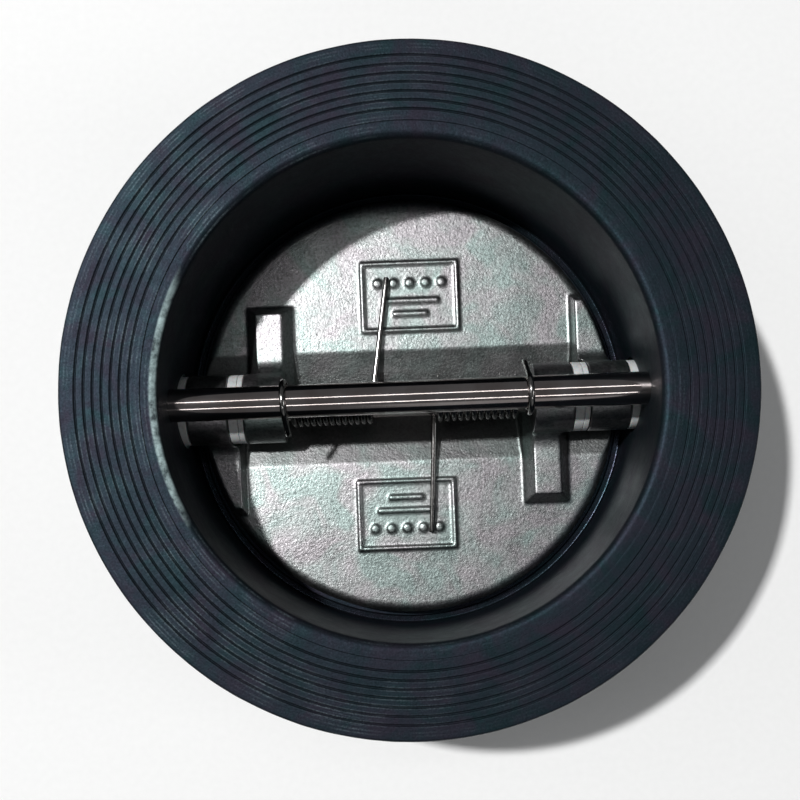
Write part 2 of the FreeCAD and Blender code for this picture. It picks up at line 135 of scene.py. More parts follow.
# --- Spring dimensions ----------------------------------------------------------------
WIRE_R = 0.75
COIL_R = 4.45
COIL_WHOLE_TURNS = 12
HOOK_GAP = 0.08
HOOK_WRAP = 178.0
HOOK_TAIL = 7.0
LEG_STUB = 1.5
LEG_BEND_R = 6.0
LEG_TIP_Y = 33.6
LEG_TIP_Z = 26.85
LEG_ROOT_DEGREES = 100.0
LEG_ROOT_R = 0.7
HOOK_R = STOP_R + HOOK_GAP + WIRE_R
HOOK_TILT_DEGREES = math.degrees(math.asin((HOOK_R + COIL_R) / (STOP_Z - HINGE_Z)))
COIL_TURNS = COIL_WHOLE_TURNS + (90.0 + HOOK_TILT_DEGREES) / 360.0
SPRINGS = {
    "left": {
        "coil_x": -29.4, "pitch": 1.61, "tip_x": -4.5, "flap": "flap_upper", "turned": False,
    },
    "right": {
        "coil_x": -28.2, "pitch": 1.73, "tip_x": -4.9, "flap": "flap_lower", "turned": True,
    },
}


# --- Mesh helpers ---------------------------------------------------------------------
def add_object(name, vertices, faces):
    """New object from vertices in millimetres, with its faces looking outwards."""
    mesh = bpy.data.meshes.new(name)
    mesh.from_pydata([(x * MM, y * MM, z * MM) for x, y, z in vertices], [], faces)
    work = bmesh.new()
    work.from_mesh(mesh)
    bmesh.ops.recalc_face_normals(work, faces=work.faces)
    work.to_mesh(mesh)
    work.free()
    obj = bpy.data.objects.new(name, mesh)
    bpy.context.scene.collection.objects.link(obj)
    return obj


def settle(obj):
    """Apply the object's modifiers."""
    graph = bpy.context.evaluated_depsgraph_get()
    made = bpy.data.meshes.new_from_object(obj.evaluated_get(graph))
    made.name = obj.name
    obj.modifiers.clear()
    obj.data = made
    return obj


def combine(obj, tool, operation):
    """Boolean with a closed tool, which is used up."""
    modifier = obj.modifiers.new("combine", "BOOLEAN")
    modifier.object = tool
    modifier.operation = operation
    modifier.solver = "MANIFOLD"
    settle(obj)
    bpy.data.objects.remove(tool)
    return obj


def shade(obj, sharp_degrees=40):
    """Smooth shading that keeps hard edges and flat faces clean."""
    obj.data.polygons.foreach_set("use_smooth", [True] * len(obj.data.polygons))
    obj.data.set_sharp_from_angle(angle=math.radians(sharp_degrees))
    modifier = obj.modifiers.new("normals", "WEIGHTED_NORMAL")
    modifier.keep_sharp = True
    return settle(obj)


def corner_arc(before, here, after, radius, steps):
    """Points along the arc that rounds a corner, in two or three dimensions."""
    back = (before - here).normalized()
    ahead = (after - here).normalized()
    half = back.angle(ahead) / 2
    centre = here + (back + ahead).normalized() * (radius / math.sin(half))
    reach = radius / math.tan(half)
    first = here + back * reach - centre
    last = here + ahead * reach - centre
    return [centre + first.slerp(last, step / steps) * radius for step in range(steps + 1)]


def rounded(corners, steps=4, closed=True):
    """Points along an outline of (r, h, radius) corners."""
    points = []
    count = len(corners)
    for i, (r, h, radius) in enumerate(corners):
        here = Vector((r, h))
        inside = closed or 0 < i < count - 1
        if radius == 0 or not inside:
            points.append(here)
            continue
        before = Vector(corners[i - 1][:2])
        after = Vector(corners[(i + 1) % count][:2])
        points += corner_arc(before, here, after, radius, steps)
    return points


def divided(points, longest, closed=True):
    """The same outline with no run longer than a given length."""
    out = []
    count = len(points)
    for i in range(count if closed else count - 1):
        here, there = points[i], points[(i + 1) % count]
        pieces = max(1, math.ceil((there - here).length / longest))
        out += [here.lerp(there, k / pieces) for k in range(pieces)]
    return out if closed else out + [points[-1]]


def on_z(r, h, angle):
    return (r * math.cos(angle), r * math.sin(angle), h)


def on_x(z):
    """Placing function for a lathe whose axis is along X at height z."""
    return lambda r, h, angle: (h, r * math.cos(angle), z + r * math.sin(angle))


def lathe(name, points, segments, place=on_z):
    """Closed outline turned round an axis. Ends with r = 0 give a solid with poles."""
    solid = points[0].x == 0 and points[-1].x == 0
    vertices, rings, faces = [], [], []
    for point in points:
        if point.x == 0:
            rings.append([len(vertices)] * segments)
            vertices.append(place(0.0, point.y, 0.0))
            continue
        rings.append([len(vertices) + k for k in range(segments)])
        for k in range(segments):
            vertices.append(place(point.x, point.y, math.tau * k / segments))
    last = len(rings) - 1 if solid else len(rings)
    for i in range(last):
        a, b = rings[i], rings[(i + 1) % len(rings)]
        for k in range(segments):
            n = (k + 1) % segments
            corners = [a[k], a[n], b[n], b[k]]
            faces.append(tuple(dict.fromkeys(corners)))
    return add_object(name, vertices, faces)


def rod(name, radius, start, end, z, segments=64):
    """Plain cylinder along X, used as a cutting tool."""
    corners = ((0, start), (radius, start), (radius, end), (0, end))
    return lathe(name, [Vector(corner) for corner in corners], segments, on_x(z))


def prism(name, bottom, top):
    """Closed solid between two outlines with the same number of points."""
    count = len(bottom)
    faces = [tuple(range(count)), tuple(range(2 * count - 1, count - 1, -1))]
    for k in range(count):
        n = (k + 1) % count
        faces.append((k, n, n + count, k + count))
    return add_object(name, list(bottom) + list(top), faces)


def roughen(obj, layers, sink=0.0):
    """Move the vertices along their normals by layers of (height, grain size, seed)."""
    mesh = obj.data
    normals = [v.normal.copy() for v in mesh.vertices]
    for vertex, normal in zip(mesh.vertices, normals):
        place = vertex.co / MM
        rise = sink
        for height, grain, seed in layers:
            rise += height * noise.noise(place / grain + Vector((seed, 0, 0)))
        vertex.co += normal * rise * MM
    mesh.update()
    return obj


TUBE_SIDES = 14
TUBE_CHAMFER = 0.2


def tube(name, path, radii):
    """Round wire along a path of points, with a small chamfer at each end."""
    points = [Vector(p) for p in path]
    tangents = []
    for i in range(len(points)):
        ahead = points[min(i + 1, len(points) - 1)]
        back = points[max(i - 1, 0)]
        tangents.append((ahead - back).normalized())
    highlight_side = tangents[0].orthogonal().normalized()
    rows = []
    for i, (point, tangent) in enumerate(zip(points, tangents)):
        if i:
            highlight_side = tangents[i - 1].rotation_difference(tangent) @ highlight_side
            highlight_side = (highlight_side - tangent * highlight_side.dot(tangent)).normalized()
        rows.append((point, tangent, highlight_side.copy(), radii[i]))
    cut = TUBE_CHAMFER
    first, last = rows[0], rows[-1]
    rows[0] = (first[0] + first[1] * cut, first[1], first[2], first[3])
    rows[-1] = (last[0] - last[1] * cut, last[1], last[2], last[3])
    rows.insert(0, (first[0], first[1], first[2], first[3] - cut))
    rows.append((last[0], last[1], last[2], last[3] - cut))
    sides = TUBE_SIDES
    vertices, faces = [], []
    for point, tangent, highlight_side, radius in rows:
        other = tangent.cross(highlight_side)
        for k in range(sides):
            angle = math.tau * k / sides
            vertices.append(point + (highlight_side * math.cos(angle) + other * math.sin(angle)) * radius)
    for i in range(len(rows) - 1):
        near, far = i * sides, (i + 1) * sides
        for k in range(sides):
            n = (k + 1) % sides
            faces.append((near + k, near + n, far + n, far + k))
    end = (len(rows) - 1) * sides
    faces.append(tuple(range(sides)))
    faces.append(tuple(end + k for k in range(sides)))
    return add_object(name, vertices, faces)


def join_frame(obj, body, nodes, material):
    """Put a finished piece on its body with its finish, and hide the CAD nodes it stands for."""
    obj.data.materials.clear()
    obj.data.materials.append(material)
    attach(obj, body)
    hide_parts(*nodes)
    return obj


# --- Material helpers -----------------------------------------------------------------
class Finish:
    """A Principled material with a few helpers for building its nodes."""

    def __init__(self, name):
        self.material = bpy.data.materials.new(name)
        self.material.use_nodes = True
        self.tree = self.material.node_tree
        self.shader = self.tree.nodes["Principled BSDF"]
        self.place = self.tree.nodes.new("ShaderNodeTexCoord").outputs["Object"]

    def set(self, **values):
        for socket, value in values.items():
            self.shader.inputs[socket.replace("_", " ")].default_value = value

    def node(self, kind, **settings):
        made = self.tree.nodes.new(kind)
        for key, value in settings.items():
            setattr(made, key, value)
        return made

    def link(self, output, socket):
        self.tree.links.new(output, socket)

    def stretched(self, scale):
        """Object coordinates scaled by a different amount along each axis."""
        mapping = self.node("ShaderNodeMapping")
        mapping.inputs["Scale"].default_value = scale
        self.link(self.place, mapping.inputs["Vector"])
        return mapping.outputs["Vector"]

    def noise(self, grain_mm, detail=3.0, roughness=0.5, place=None, distortion=0.0):
        """Noise with a given grain size on the object."""
        made = self.node("ShaderNodeTexNoise")
        made.inputs["Scale"].default_value = 1.0 / (grain_mm * MM)
        made.inputs["Detail"].default_value = detail
        made.inputs["Roughness"].default_value = roughness
        made.inputs["Distortion"].default_value = distortion
        self.link(place or self.place, made.inputs["Vector"])
        return made.outputs["Fac"]

    def noise_at(self, place, detail, roughness):
        """Noise at coordinates that are already scaled."""
        made = self.node("ShaderNodeTexNoise")
        made.inputs["Scale"].default_value = 1.0
        made.inputs["Detail"].default_value = detail
        made.inputs["Roughness"].default_value = roughness
        self.link(place, made.inputs["Vector"])
        return made.outputs["Fac"]

    def flattened(self):
        """Coordinates on the object with no height."""
        made = self.node("ShaderNodeVectorMath", operation="MULTIPLY")
        made.inputs[1].default_value = (1.0, 1.0, 0.0)
        self.link(self.place, made.inputs[0])
        return made.outputs[0]

    def radius(self):
        """Distance from the valve's axis, in metres."""
        made = self.node("ShaderNodeVectorMath", operation="LENGTH")
        self.link(self.flattened(), made.inputs[0])
        return made.outputs["Value"]

    def turned(self, ring_mm, round_count):
        """Seamless coordinates round the axis: fine from ring to ring, long round each ring."""
        unit = self.node("ShaderNodeVectorMath", operation="NORMALIZE")
        self.link(self.flattened(), unit.inputs[0])
        scaled = self.node("ShaderNodeMath", operation="MULTIPLY")
        scaled.inputs[1].default_value = 1.0 / (ring_mm * MM)
        self.link(self.radius(), scaled.inputs[0])
        rings = self.node("ShaderNodeCombineXYZ")
        self.link(scaled.outputs[0], rings.inputs["Z"])
        both = self.node("ShaderNodeVectorMath", operation="MULTIPLY_ADD")
        both.inputs[1].default_value = (round_count, round_count, 0.0)
        self.link(unit.outputs[0], both.inputs[0])
        self.link(rings.outputs[0], both.inputs[2])
        return both.outputs[0]

    def band(self, value, low, high, soft):
        """1 between two lengths in millimetres, falling to 0 over a soft edge outside them."""
        rise = self.spread(value, (low - soft) * MM, low * MM, 0.0, 1.0)
        fall = self.spread(value, high * MM, (high + soft) * MM, 1.0, 0.0)
        return self.multiply(rise, fall)

    def groove_edges(self):
        """Narrow band beside each groove of the sealing face, from 0 to 1."""
        first = self.node("ShaderNodeMath", operation="SUBTRACT")
        first.inputs[1].default_value = GROOVE_FIRST_R * MM
        self.link(self.radius(), first.inputs[0])
        folded = self.node("ShaderNodeMath", operation="PINGPONG")
        folded.inputs[1].default_value = GROOVE_PITCH * MM / 2
        self.link(first.outputs[0], folded.inputs[0])
        return self.band(folded.outputs[0], GROOVE_HALF, GROOVE_HALF + 0.12, 0.2)

    def apart(self, axis):
        """One coordinate on the object, in metres."""
        made = self.node("ShaderNodeSeparateXYZ")
        self.link(self.place, made.inputs[0])
        return made.outputs[axis]

    def across(self):
        """Distance from the plane of the two pins, in metres."""
        made = self.node("ShaderNodeMath", operation="ABSOLUTE")
        self.link(self.apart("Y"), made.inputs[0])
        return made.outputs[0]

    def multiply(self, first, second):
        made = self.node("ShaderNodeMath", operation="MULTIPLY")
        self.link(first, made.inputs[0])
        self.link(second, made.inputs[1])
        return made.outputs[0]

    def blend(self, share, first, number):
        """Value that goes from first to a number as share goes from 0 to 1."""
        made = self.node("ShaderNodeMix", data_type="FLOAT")
        self.link(share, made.inputs[0])
        self.link(first, made.inputs[2])
        made.inputs[3].default_value = number
        return made.outputs[0]

    def cells(self, grain_mm):
        """Voronoi distance with a given cell size on the object."""
        made = self.node("ShaderNodeTexVoronoi")
        made.inputs["Scale"].default_value = 1.0 / (grain_mm * MM)
        self.link(self.place, made.inputs["Vector"])
        return made.outputs["Distance"]

    def ramp(self, value, stops):
        """Colour ramp through (position, colour) stops."""
        made = self.node("ShaderNodeValToRGB")
        elements = made.color_ramp.elements
        while len(elements) < len(stops):
            elements.new(0.5)
        for element, (position, colour) in zip(elements, stops):
            element.position = position
            element.color = (*colour, 1.0)
        self.link(value, made.inputs["Fac"])
        return made.outputs["Color"]

    def spread(self, value, low, high, out_low, out_high):
        """Clamped linear remap of a value."""
        made = self.node("ShaderNodeMapRange", clamp=True)
        sockets = ("From Min", "From Max", "To Min", "To Max")
        for socket, number in zip(sockets, (low, high, out_low, out_high)):
            made.inputs[socket].default_value = number
        self.link(value, made.inputs["Value"])
        return made.outputs["Result"]

    def mix(self, share, first, second, blend="MIX"):
        made = self.node("ShaderNodeMix", data_type="RGBA", blend_type=blend)
        sockets = (made.inputs[0], made.inputs[6], made.inputs[7])
        for socket, value in zip(sockets, (share, first, second)):
            if isinstance(value, (int, float)):
                socket.default_value = value
            elif isinstance(value, tuple):
                socket.default_value = (*value, 1.0)
            else:
                self.link(value, socket)
        return made.outputs[2]

    def add(self, first, second, factor):
        """first + second * factor"""
        made = self.node("ShaderNodeMath", operation="MULTIPLY_ADD")
        self.link(second, made.inputs[0])
        made.inputs[1].default_value = factor
        self.link(first, made.inputs[2])
        return made.outputs[0]

    def bump(self, height, distance_mm):
        made = self.node("ShaderNodeBump")
        made.inputs["Strength"].default_value = 1.0
        made.inputs["Distance"].default_value = distance_mm * MM
        self.link(height, made.inputs["Height"])
        self.link(made.outputs["Normal"], self.shader.inputs["Normal"])

    def colour(self, output):
        self.link(output, self.shader.inputs["Base Color"])

    def rough(self, output):
        self.link(output, self.shader.inputs["Roughness"])


def rubber_finish():
    """Blue-black moulded rubber: satin skin, light chalky marks on the groove edges that are partly
    wear and partly a painted highlight and grow stronger towards -X, a painted highlight on the left
    of the inner lip, a shiny seat.
    """
    made = Finish("lining_rubber")
    broad = made.noise(9.0, 4.0, 0.6, distortion=0.6)
    fine = made.noise(0.5, 4.0, 0.8)
    base = made.ramp(broad, [
        (0.32, (0.0022, 0.0050, 0.0058)),
        (0.5, (0.0040, 0.0052, 0.0068)),
        (0.68, (0.0060, 0.0056, 0.0082)),
    ])
    # Light marks along the rings and the groove edges: partly chalky wear, partly a painted highlight
    # of the groove walls.
    streaks = made.spread(made.noise_at(made.turned(0.55, 5.0), 4.0, 0.6), 0.54, 0.70, 0.0, 0.5)
    wear_and_edge_highlight = made.add(streaks, made.groove_edges(), 0.8)
    patches = made.spread(made.noise(11.0, 3.0), 0.46, 0.66, 0.06, 1.0)
    grit = made.spread(fine, 0.42, 0.65, 0.15, 1.0)
    face = made.spread(made.apart("Z"), (FACE_Z - 1.6) * MM, (FACE_Z - 0.8) * MM, 0.12, 1.0)
    # Painted light: the marks grow stronger towards -X, the side the key light falls on.
    lit_side_ramp = made.spread(made.apart("X"), 25.0 * MM, -50.0 * MM, 0.14, 1.0)
    on_face = made.multiply(wear_and_edge_highlight, made.multiply(patches, face))
    chalk_and_highlight = made.multiply(on_face, made.multiply(grit, lit_side_ramp))
    dust = made.spread(made.noise(0.7, 5.0, 0.75), 0.62, 0.76, 0.0, 0.28)
    chalked_and_lit = made.mix(chalk_and_highlight, base, (0.120, 0.155, 0.170))
    dusty = made.mix(dust, chalked_and_lit, (0.034, 0.043, 0.046))
    # Painted highlight: a bright cyan-white band on the left side of the inner lip, broken up by
    # noise.
    lip = made.band(made.radius(), CHAMBER_R + 0.5, CHAMBER_R + 1.5, 0.4)
    highlight_side = made.spread(made.apart("X"), -51.0 * MM, -56.0 * MM, 0.0, 1.0)
    broken = made.spread(made.noise(3.0, 5.0, 0.7), 0.34, 0.60, 0.1, 0.9)
    painted_lip_highlight = made.multiply(made.multiply(lip, highlight_side), broken)
    made.colour(made.mix(painted_lip_highlight, dusty, (0.46, 0.60, 0.60)))
    sheen = made.ramp(broad, [
        (0.34, (0.40, 0.74, 0.90)),
        (0.5, (0.52, 0.70, 0.96)),
        (0.66, (0.66, 0.64, 0.94)),
    ])
    made.link(sheen, made.shader.inputs["Specular Tint"])
    made.link(made.spread(fine, 0.3, 0.7, 0.18, 0.46), made.shader.inputs["Specular IOR Level"])
    seat = made.spread(made.apart("Z"), (SEAT_Z + 0.3) * MM, (SEAT_Z - 0.8) * MM, 0.0, 1.0)
    mottled = made.add(broad, made.noise(2.2, 5.0, 0.6), 0.6)
    satin = made.spread(mottled, 0.5, 1.1, 0.46, 0.60)
    made.rough(made.blend(seat, satin, 0.24))
    skin = made.add(made.noise(0.45, 3.0), made.noise(3.5, 2.0), 1.6)
    made.bump(made.add(skin, made.noise_at(made.turned(0.25, 30.0), 2.0, 0.5), 0.5), 0.045)
    return made.material


def paint_finish():
    """Blue-black epoxy paint over a sand-cast skin, thinner and greyer on the high spots."""
    made = Finish("body_paint")
    pores = made.cells(1.3)
    lumps = made.noise(1.8, 5.0, 0.65)
    base = made.ramp(lumps, [(0.35, (0.0055, 0.0085, 0.0120)), (0.68, (0.0150, 0.0210, 0.0270))])
    scuff = made.spread(made.noise(5.0, 6.0, 0.8), 0.60, 0.74, 0.0, 0.55)
    made.colour(made.mix(scuff, base, (0.035, 0.043, 0.050)))
    made.rough(made.spread(lumps, 0.3, 0.7, 0.30, 0.50))
    made.bump(made.add(lumps, pores, 0.5), 0.16)
    made.set(Specular_IOR_Level=0.5, Coat_Weight=0.25, Coat_Roughness=0.2)
    return made.material


def cast_finish():
    """Blasted stainless steel casting, faintly tinted in patches, with painted shade on the two
    bevels.
    """
    made = Finish("cast_stainless")
    tint = made.ramp(made.noise(11.0, 2.0, distortion=0.8), [
        (0.36, (0.290, 0.352, 0.338)),
        (0.5, (0.335, 0.350, 0.348)),
        (0.64, (0.355, 0.338, 0.352)),
    ])
    speck = made.ramp(made.noise(0.8, 5.0, 0.75), [
        (0.36, (0.52, 0.52, 0.52)),
        (0.50, (0.84, 0.84, 0.84)),
        (0.64, (1.0, 1.0, 1.0)),
    ])
    grainy = made.mix(1.0, tint, speck, "MULTIPLY")
    stain = made.spread(made.noise(4.2, 6.0, 0.7, distortion=0.4), 0.60, 0.78, 0.0, 0.5)
    stained = made.mix(stain, grainy, (0.21, 0.205, 0.195))
    # Painted shade: the two bevels beside the pins are darkened in colour.
    bevel_shade = made.multiply(
        made.spread(made.across(), (BEVEL_Y - 0.6) * MM, (BEVEL_Y + 0.1) * MM, 1.0, 0.0),
        made.spread(
            made.apart("Z"), (PLATE_TOP_Z + 0.2) * MM, (PLATE_TOP_Z + 0.5) * MM, 0.68, 0.0
        ),
    )
    made.colour(made.mix(bevel_shade, stained, (0.100, 0.104, 0.102)))
    patches = made.spread(made.noise(7.0, 4.0, 0.6, distortion=0.5), 0.36, 0.64, 0.0, 1.0)
    grain = made.spread(made.noise(0.6, 4.0, 0.7), 0.3, 0.7, 0.27, 0.40)
    made.rough(made.add(grain, patches, 0.09))
    blast = made.add(made.noise(0.7, 5.0, 0.75), made.cells(0.6), 0.35)
    made.bump(blast, 0.060)
    made.set(Metallic=1.0)
    return made.material


def pin_finish():
    """Ground and polished bar: fine rings round the pin, and a faint brown tint in broad patches that
    is a painted reflection.
    """
    made = Finish("pin_steel")
    rings = made.noise(1.0, 3.0, 0.6, place=made.stretched((9.0, 0.25, 0.25)))
    # Painted reflection: broad patches of faint brown tint in the bar's colour; the same noise also
    # varies the roughness.
    brown_tint_patches = made.noise(9.0, 3.0, 0.6)
    made.colour(made.ramp(brown_tint_patches, [(0.3, (0.50, 0.42, 0.40)), (0.7, (0.66, 0.60, 0.59))]))
    made.rough(made.spread(made.add(rings, brown_tint_patches, 0.5), 0.5, 1.0, 0.06, 0.13))
    made.bump(rings, 0.004)
    made.set(Metallic=1.0)
    return made.material


def wire_finish():
    """Drawn and polished spring wire, greyish."""
    made = Finish("spring_wire")
    drawn = made.noise(0.8, 4.0, 0.7)
    made.colour(made.ramp(drawn, [(0.3, (0.24, 0.23, 0.22)), (0.7, (0.40, 0.39, 0.38))]))
    made.rough(made.spread(drawn, 0.3, 0.7, 0.12, 0.22))
    made.bump(drawn, 0.005)
    made.set(Metallic=1.0)
    return made.material


def ptfe_finish():
    """Turned PTFE, slightly translucent, with grey rub marks."""
    made = Finish("white_ptfe")
    rub = made.noise(1.2, 5.0, 0.7)
    made.colour(made.ramp(rub, [
        (0.25, (0.44, 0.45, 0.45)),
        (0.5, (0.60, 0.62, 0.62)),
        (0.8, (0.68, 0.69, 0.68)),
    ]))
    made.rough(made.spread(rub, 0.3, 0.7, 0.34, 0.52))
    made.bump(made.noise(0.5, 3.0), 0.02)
    made.set(Subsurface_Weight=0.15, Subsurface_Scale=0.0012)
    return made.material


def plug_finish():
    """Turned and zinc-plated steel with handling marks."""
    made = Finish("plug_steel")
    plate = made.noise(1.6, 5.0, 0.7)
    made.colour(made.ramp(plate, [(0.3, (0.34, 0.34, 0.33)), (0.7, (0.56, 0.56, 0.54))]))
    made.rough(made.spread(plate, 0.3, 0.7, 0.26, 0.44))
    turned = made.noise(0.35, 2.0, place=made.stretched((3.0, 0.6, 0.6)))
    made.bump(made.add(turned, plate, 0.6), 0.02)
    made.set(Metallic=1.0)
    return made.material


def gasket_finish():
    """Compressed fibre sheet with a speckled matt surface."""
    made = Finish("gasket_fibre")
    fibre = made.noise(0.6, 5.0, 0.8, place=made.stretched((1.0, 0.35, 1.0)))
    made.colour(made.ramp(fibre, [(0.3, (0.060, 0.042, 0.030)), (0.7, (0.170, 0.120, 0.085))]))
    made.rough(made.spread(fibre, 0.3, 0.7, 0.70, 0.90))
    made.bump(fibre, 0.06)
    return made.material


def floor_finish():
    """Pale seamless paper."""
    made = Finish("floor_paper")
    pulp = made.noise(2.0, 4.0)
    made.colour(made.ramp(pulp, [(0.3, (0.86, 0.86, 0.855)), (0.7, (0.88, 0.88, 0.875))]))
    made.rough(made.spread(made.noise(1.0, 2.0), 0.3, 0.7, 0.75, 0.9))
    made.bump(made.noise(0.7, 3.0), 0.02)
    return made.material


RUBBER = rubber_finish()
PAINT = paint_finish()
CAST = cast_finish()
PIN = pin_finish()
WIRE = wire_finish()
PTFE = ptfe_finish()
PLUG = plug_finish()
FIBRE = gasket_finish()


# --- Bores that both the lining and the casting have ----------------------------------
LINED_CHAMBER_R = CHAMBER_R + LINING_T
LINED_PORT_R = PORT_R + LINING_T
SHELF_Z = SEAT_Z - 2.6
PIN_ENDS = ((HINGE_Z, HINGE_R), (STOP_Z, STOP_R))


def drill(obj, radius, sign, start, end, z, segments=64):
    """Cut a round hole along X on one side of the body."""
    low, high = sorted((sign * start, sign * end))
    combine(obj, rod("hole", radius, low, high, z, segments), "DIFFERENCE")


# --- Rubber lining --------------------------------------------------------------------
def bar_outline(half, top, shoulder, nose):
    """(y, z) outline of the crossbar's section: rounded nose towards the inlet."""
    rise = shoulder - nose
    radius = (half * half + rise * rise) / (2 * rise)
    reach = math.asin(half / radius)
    steps = 28
    outline = [(-half + 0.4, top), (-half, top - 0.4)]
    for k in range(steps + 1):
        angle = -reach + 2 * reach * k / steps
        outline.append((radius * math.sin(angle), nose + radius - radius * math.cos(angle)))
    return outline + [(half, top - 0.4), (half - 0.4, top)]


def bar(name, outline, reach):
    """Crossbar whose ends follow a circle of the given radius."""
    ends = [[], []]
    for y, z in outline:
        x = math.sqrt(reach * reach - y * y)
        ends[0].append((-x, y, z))
        ends[1].append((x, y, z))
    return prism(name, ends[0], ends[1])


def groove_corners(z, sign):
    """V-grooves from the innermost outwards."""
    corners = []
    for i in range(GROOVE_COUNT):
        r = GROOVE_FIRST_R + i * GROOVE_PITCH
        corners.append((r - GROOVE_HALF, z, 0.16))
        corners.append((r, z + sign * GROOVE_DEPTH, 0.10))
        corners.append((r + GROOVE_HALF, z, 0.16))
    return corners


def make_lining():
    corners = [(LINING_R, LINING_T, 0), (LINING_R, 0.0, 0.6)]
    corners += list(reversed(groove_corners(0.0, 1)))
    corners += [(PORT_R, 0.0, 1.4), (PORT_R, SEAT_Z - 0.8, 0.3), (PORT_R + 0.8, SEAT_Z, 0.3)]
    corners += [(SEAT_R, SEAT_Z, 0.35), (SEAT_R, LEDGE_Z, 0.3), (CHAMBER_R, LEDGE_Z, 0.6)]
    corners += [(CHAMBER_R, INNER_LAND_Z, 1.8), (INNER_LAND_R, INNER_LAND_Z, 0.2)]
    corners += [(INNER_LAND_R + 0.2, FACE_Z, 0.12)] + groove_corners(FACE_Z, -1)
    corners += [(LINING_R, FACE_Z, 0.6), (LINING_R, FACE_Z - LINING_T, 0)]
    corners += [(LINED_CHAMBER_R, FACE_Z - LINING_T, 0), (LINED_CHAMBER_R, SHELF_Z, 0)]
    corners += [(LINED_PORT_R, SHELF_Z, 0), (LINED_PORT_R, LINING_T, 0)]
    points = divided(rounded(corners), 2.2)
    obj = lathe("rubber_lining_moulded", points, 400)
    roughen(obj, [(0.05, 9.0, 3.0), (0.02, 2.5, 11.0)])
    cover = bar_outline(COVER_HALF, SEAT_Z - 0.02, BAR_SHOULDER_Z, COVER_NOSE_Z)
    combine(obj, bar("cover", cover, PORT_R + LINING_T / 2), "UNION")
    core = bar_outline(CORE_HALF, CORE_TOP_Z, BAR_SHOULDER_Z, CORE_NOSE_Z)
    combine(obj, bar("core", core, PORT_R + 3 * LINING_T), "DIFFERENCE")
    for sign in (1, -1):
        for z, r in PIN_ENDS:
            drill(obj, r + HOLE_GAP, sign, CHAMBER_R - 2, LINED_CHAMBER_R + 2, z)
        drill(obj, SPOTFACE[0], sign, CHAMBER_R - 3, SPOTFACE[1], HINGE_Z, 96)
    shade(obj, 35)
    return join_frame(obj, "valve_body", ["rubber_lining"], RUBBER)


# --- Casting --------------------------------------------------------------------------
ARROW_PANEL = {"half": 10.0, "low": 12.0, "high": 52.0, "depth": 0.8}
ARROW_POINTS = [
    (2.2, 17.0), (2.2, 36.0), (6.0, 36.0), (0.0, 47.0), (-6.0, 36.0), (-2.2, 36.0), (-2.2, 17.0),
]


def wall_prism(name, outline, inner, outer):
    """Solid on the +Y side of the rim: an (x, z) outline between two cylinders round the valve."""
    near, far = [], []
    for x, z in outline:
        near.append((x, math.sqrt(inner * inner - x * x), z))
        far.append((x, math.sqrt(outer * outer - x * x), z))
    return prism(name, near, far)


def filled_outline(corners, radius, longest):
    """Corners rounded and divided, as plain tuples."""
    points = divided(rounded([(x, z, radius) for x, z in corners]), longest)
    return [(p.x, p.y) for p in points]


def pit_rim(obj):
    """Sink the rim's surface unevenly, as sand casting leaves it."""
    for vertex in obj.data.vertices:
        place = vertex.co / MM
        r = math.hypot(place.x, place.y)
        if r > BODY_R - 0.3:
            skin = 0.5 + 0.5 * noise.noise(place / RIM_SKIN[1])
            lump = 0.5 + 0.5 * noise.noise(place / RIM_LUMPS[1] + Vector((7, 0, 0)))
            share = (r - RIM_SKIN[0] * skin - RIM_LUMPS[0] * lump) / r
            vertex.co.x *= share
            vertex.co.y *= share
    obj.data.update()


def add_arrow(obj):
    """Sunk panel on the rim with a raised arrow along the flow."""
    half, low, high = ARROW_PANEL["half"], ARROW_PANEL["low"], ARROW_PANEL["high"]
    floor_r = BODY_R - ARROW_PANEL["depth"]
    panel = filled_outline([(-half, low), (half, low), (half, high), (-half, high)], 1.6, 1.0)
    combine(obj, wall_prism("panel", panel, floor_r, BODY_R + 3), "DIFFERENCE")
    arrow = filled_outline(ARROW_POINTS, 0.5, 0.8)
    combine(obj, wall_prism("arrow", arrow, BODY_R - 3, BODY_R - 0.05), "UNION")


def make_casting():
    top = FACE_Z - LINING_T
    chamfer = BODY_R - LINING_R
    corners = [
        (LINING_R, LINING_T, 0.2), (BODY_R, LINING_T + chamfer, 0.4),
        (BODY_R, top - chamfer, 0.4), (LINING_R, top, 0.2),
        (LINED_CHAMBER_R, top, 0), (LINED_CHAMBER_R, SHELF_Z, 0),
        (LINED_PORT_R, SHELF_Z, 0), (LINED_PORT_R, LINING_T, 0),
    ]
    points = rounded(corners)
    rim = [i for i, p in enumerate(points) if p.x > BODY_R - 0.01]
    tall = divided(points[rim[0]:rim[-1] + 1], 1.0, closed=False)
    points = points[:rim[0]] + tall + points[rim[-1] + 1:]
    obj = lathe("body_casting_painted", points, 480)
    pit_rim(obj)
    core = bar_outline(CORE_HALF, CORE_TOP_Z, BAR_SHOULDER_Z, CORE_NOSE_Z)
    combine(obj, bar("core", core, LINED_PORT_R + 1.0), "UNION")
    add_arrow(obj)
    for sign in (1, -1):
        for z, r in PIN_ENDS:
            drill(obj, r + HOLE_GAP, sign, LINED_CHAMBER_R - 1, THREAD_START + 1, z, 72)
            drill(obj, THREAD_R, sign, THREAD_START, BODY_R + 1, z, 72)
            drill(obj, COUNTERBORE[0], sign, COUNTERBORE[1], BODY_R + 2, z, 72)
    shade(obj, 32)
    return join_frame(obj, "valve_body", ["body_casting"], PAINT)


# --- Plates ---------------------------------------------------------------------------
PLATE_VOXEL = 0.34
WELD_DISTANCE = 0.01


